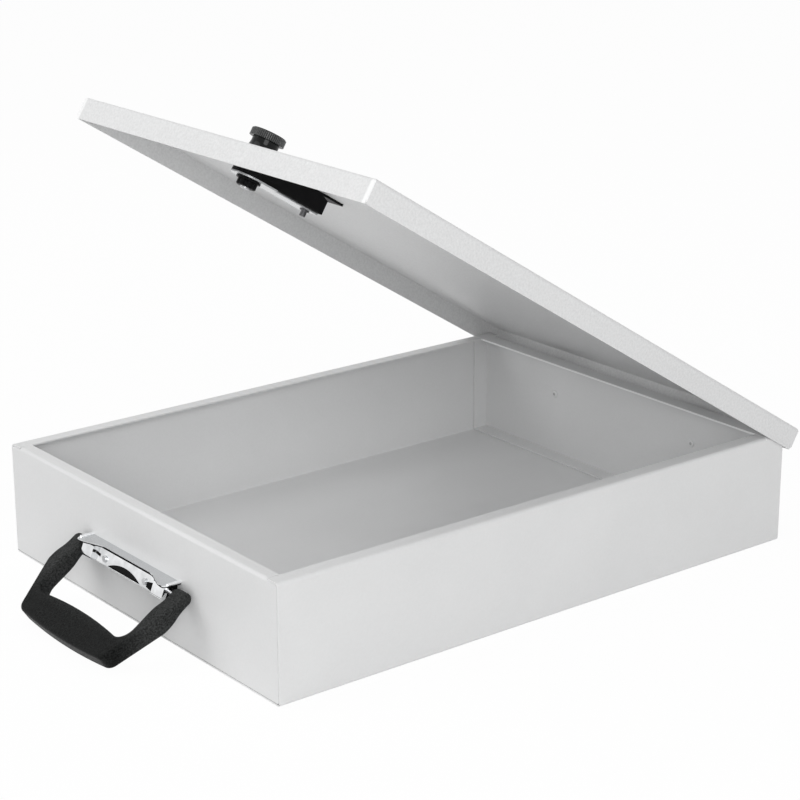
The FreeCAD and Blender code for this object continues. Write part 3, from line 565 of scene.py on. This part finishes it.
def linedMetal(name):
    values = metals[name]
    material, tree, shader, place = startFinish(name)
    shader.inputs["Metallic"].default_value = 1.0
    lines = grain(tree, place, values["scale"], metalGrain["detail"], metalGrain["rough"],
                  values["stretch"])
    blendColour(tree, lines, values["tones"], shader.inputs["Base Color"])
    spread(tree, lines, values["roughness"], shader.inputs["Roughness"])
    addBump(tree, shader, lines, *metalGrain["bump"])
    return material


finishes = {
    # the case's paint takes painted shade in the foot seam and a painted highlight on the rear
    # rim's edge
    "case_paint": greyPaint("casePaint", [(seamShadeShare, "shade"), (rimHighlightShare, "highlight")]),
    "grip_black": gripBlack(),
    "knob_black": knobBlack(),
    "lock_black": lockBlack(),
    "bright_chrome": brightChrome(),
    "zinc_plate": linedMetal("zincPlate"),
    "plain_steel": linedMetal("plainSteel"),
}
ownFinishes = {
    # the lid's paint takes a painted highlight on its front folds, and the rivets' paint takes
    # painted shade in their middles
    "lid_pan": greyPaint("lidPaint", [(foldHighlightShare, "highlight")]),
    "hinge_rivets": greyPaint("rivetPaint", [(dimpleShadeShare, "dent")]),
    "lock_stud": linedMetal("darkSteel"),
}
print("finishes made:", len(finishes) + len(ownFinishes))

# every CAD piece is shown as a merged copy with fine edge rounds and smooth bends
dress = {
    "mergeGap": 0.000002,
    "flatAngle": 0.4,
    "smoothAngle": 32.0,
    "edgeAngle": 40.0,
    "edgeRound": 0.00016,
    "edgeSegments": 2,
    "finerRounds": {
        "lock_knob": 0.00007,
        "lock_nut": 0.00012,
        "hinge_rivets": 0.00010,
        "handle_rivets": 0.00010,
    },
}


def pieceName(node):
    words = node.split("_")
    return words[0] + "".join(word.capitalize() for word in words[1:])


def dressNode(node):
    bm = bmesh.new()
    bm.from_mesh(nodes[node].data)
    bmesh.ops.remove_doubles(bm, verts=bm.verts, dist=dress["mergeGap"])
    bmesh.ops.dissolve_limit(bm, angle_limit=math.radians(dress["flatAngle"]),
                             verts=bm.verts, edges=bm.edges)
    mesh = bpy.data.meshes.new(pieceName(node))
    bm.to_mesh(mesh)
    bm.free()
    mesh.shade_smooth()
    mesh.set_sharp_from_angle(angle=math.radians(dress["smoothAngle"]))
    mesh.materials.clear()
    mesh.materials.append(ownFinishes.get(node, finishes[slotOf[node]]))
    piece = bpy.data.objects.new(pieceName(node), mesh)
    scene.collection.objects.link(piece)
    edge = piece.modifiers.new("edgeRound", "BEVEL")
    edge.limit_method = "ANGLE"
    edge.angle_limit = math.radians(dress["edgeAngle"])
    edge.width = dress["finerRounds"].get(node, dress["edgeRound"])
    edge.segments = dress["edgeSegments"]
    evenShade = piece.modifiers.new("evenShade", "WEIGHTED_NORMAL")
    evenShade.keep_sharp = True
    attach(piece, bodyOf[node])
    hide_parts(node)


for nodeName in sorted(nodes):
    dressNode(nodeName)
print("pieces dressed:", len(nodes))

# weld in the four corner seams of the lid, drawn on the shut lid and turned open with it
cornerWeld = {
    "inner": 0.1255,
    "outer": 0.1260,
    "end": 0.1727,
    "sheet": 0.001,
    "low": 0.0518,
    "high": 0.0627,
}


def makeCornerWelds():
    width = cornerWeld["outer"] - cornerWeld["inner"]
    height = cornerWeld["high"] - cornerWeld["low"]
    shape = Matrix.Diagonal((width, cornerWeld["sheet"], height, 1.0))
    middleX = cornerWeld["inner"] + width / 2
    middleY = cornerWeld["end"] - cornerWeld["sheet"] / 2
    middleZ = cornerWeld["low"] + height / 2
    bm = bmesh.new()
    for sideways in (1, -1):
        for lengthways in (1, -1):
            place = Matrix.Translation((middleX * sideways, middleY * lengthways, middleZ))
            bmesh.ops.create_cube(bm, matrix=place @ shape)
    hinge = Matrix.Translation(joints["lid_hinge"]["pos_m"])
    opened = Matrix.Rotation(math.radians(joints["lid_hinge"]["range_deg"][0]), 4, "X")
    bm.transform(hinge @ opened @ hinge.inverted())
    mesh = bpy.data.meshes.new("lidCornerWelds")
    bm.to_mesh(mesh)
    bm.free()
    mesh.materials.append(ownFinishes["lid_pan"])
    welds = bpy.data.objects.new("lidCornerWelds", mesh)
    scene.collection.objects.link(welds)
    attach(welds, "lid")


makeCornerWelds()
print("corner welds made")
